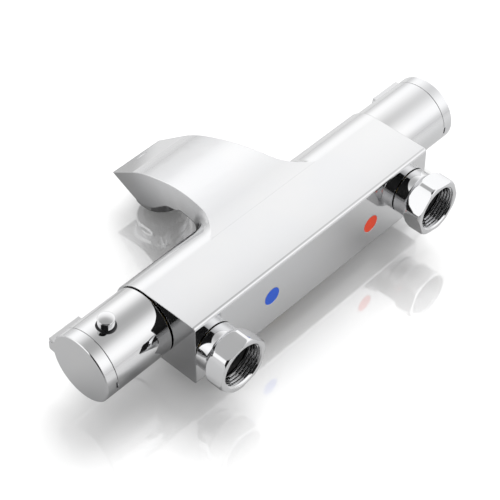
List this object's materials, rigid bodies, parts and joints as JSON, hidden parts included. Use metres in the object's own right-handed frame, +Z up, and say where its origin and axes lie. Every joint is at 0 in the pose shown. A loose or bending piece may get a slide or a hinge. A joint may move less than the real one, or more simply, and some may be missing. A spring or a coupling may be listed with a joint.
{
  "type": "bath mixer tap",
  "caption": "Wall-mounted bath mixer tap with temperature control: a chromed bar with a handle at each end, a flat spout, two union nuts and a shower outlet.",
  "frame": {"origin": "midway between the mouths of the two union nuts, on the nuts' axes", "axes": "+X along the bar to the temperature handle, +Y into the wall, +Z up"},
  "size_m": [0.2632, 0.154, 0.0611],
  "materials": {
    "chrome_body": "polished chrome plate on a brass casting",
    "chrome_trim": "polished chrome plate",
    "bare_brass": "machined brass",
    "blue_enamel": "glossy blue enamel",
    "red_enamel": "glossy red enamel",
    "dark_rubber": "black rubber",
    "steel": "stainless steel",
    "white_plastic": "moulded acetal",
    "dark_plastic": "black moulded plastic",
    "ceramic": "polished ceramic"
  },
  "bodies": {
    "valve_body": {"body": "chrome_body", "cold_dot": "blue_enamel", "hot_dot": "red_enamel", "cold_nipple": "bare_brass", "hot_nipple": "bare_brass", "cold_washer": "dark_rubber", "hot_washer": "dark_rubber", "cold_strainer": "steel", "hot_strainer": "steel", "cold_check_housing": "white_plastic", "hot_check_housing": "white_plastic", "cold_check_spring": "steel", "hot_check_spring": "steel", "cartridge_sleeve": "white_plastic", "cartridge_seals": "dark_rubber", "cartridge_clamp_nut": "bare_brass", "stop_ring": "dark_plastic", "return_spring": "steel", "flow_housing": "bare_brass", "flow_seal": "dark_rubber", "fixed_disc": "ceramic", "flow_clamp_nut": "bare_brass", "aerator_housing": "chrome_trim", "aerator_insert": "white_plastic", "aerator_washer": "dark_rubber", "shower_nipple": "bare_brass"},
    "temperature_handle": {"temperature_sleeve": "chrome_trim", "temperature_end_cap": "chrome_trim", "temperature_screw": "steel", "temperature_adaptor": "white_plastic", "temperature_spindle": "bare_brass", "button_collar": "dark_plastic", "button_spring": "steel"},
    "safety_button": {"safety_button": "chrome_trim"},
    "flow_handle": {"flow_sleeve": "chrome_trim", "flow_end_cap": "chrome_trim", "flow_screw": "steel", "flow_adaptor": "white_plastic", "flow_spindle": "bare_brass", "moving_disc": "ceramic"},
    "regulator": {"pressure_nut": "white_plastic", "wax_element": "bare_brass", "regulating_spool": "white_plastic"},
    "cold_nut": {"cold_union_nut": "chrome_trim"},
    "hot_nut": {"hot_union_nut": "chrome_trim"},
    "cold_poppet": {"cold_check_poppet": "white_plastic"},
    "hot_poppet": {"hot_check_poppet": "white_plastic"}
  },
  "joints": [
    {"name": "temperature_turn", "type": "hinge", "parent": "valve_body", "child": "temperature_handle", "pos_m": [0.11, -0.056, 0.0008], "axis": [1, 0, 0], "range_deg": [-180, 60]},
    {"name": "flow_turn", "type": "hinge", "parent": "valve_body", "child": "flow_handle", "pos_m": [-0.11, -0.056, 0.0008], "axis": [1, 0, 0], "range_deg": [-90, 90]},
    {"name": "button_press", "type": "slide", "parent": "temperature_handle", "child": "safety_button", "axis": [0, -0.0767, -0.9971], "range_m": [0, 0.0025], "stiffness_N_per_m": 500, "springref_m": -0.003, "deforming": ["button_spring"]},
    {"name": "regulator_slide", "type": "slide", "parent": "valve_body", "child": "regulator", "axis": [1, 0, 0], "range_m": [-0.00076, 0.00026], "deforming": ["return_spring"]},
    {"name": "cold_nut_turn", "type": "hinge", "parent": "valve_body", "child": "cold_nut", "pos_m": [0.075, 0, 0], "axis": [0, 1, 0], "continuous": true},
    {"name": "hot_nut_turn", "type": "hinge", "parent": "valve_body", "child": "hot_nut", "pos_m": [-0.075, 0, 0], "axis": [0, 1, 0], "continuous": true},
    {"name": "cold_check_slide", "type": "slide", "parent": "valve_body", "child": "cold_poppet", "axis": [0, -1, 0], "range_m": [0, 0.0025], "stiffness_N_per_m": 60, "springref_m": -0.002, "deforming": ["cold_check_spring"]},
    {"name": "hot_check_slide", "type": "slide", "parent": "valve_body", "child": "hot_poppet", "axis": [0, -1, 0], "range_m": [0, 0.0025], "stiffness_N_per_m": 60, "springref_m": -0.002, "deforming": ["hot_check_spring"]}
  ],
  "couplings": [
    {"joint": "regulator_slide", "follows": "temperature_turn", "m_per_rad": 0.00023873}
  ]
}
